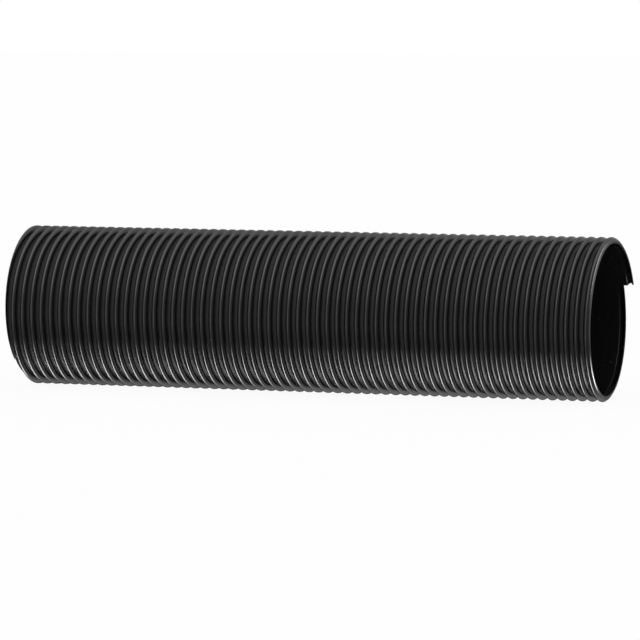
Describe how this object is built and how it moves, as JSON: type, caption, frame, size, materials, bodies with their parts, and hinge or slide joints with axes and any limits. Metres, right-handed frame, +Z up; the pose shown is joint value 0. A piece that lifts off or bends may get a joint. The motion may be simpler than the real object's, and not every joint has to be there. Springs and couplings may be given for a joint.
{
  "type": "vacuum cleaner hose",
  "caption": "Straight length of ribbed plastic vacuum cleaner hose, wound from one strip, with a smooth round bore and open ends.",
  "frame": {"origin": "centre of the bounding box's bottom, on the floor under the middle of the hose", "axes": "+X along the hose towards the end where the wound strip stops in a step, +Z up"},
  "size_m": [0.2076, 0.0548, 0.0548],
  "materials": {
    "black_plastic": "semi-gloss black extruded plastic"
  },
  "bodies": {
    "root": {"hose": "black_plastic"}
  },
  "joints": []
}
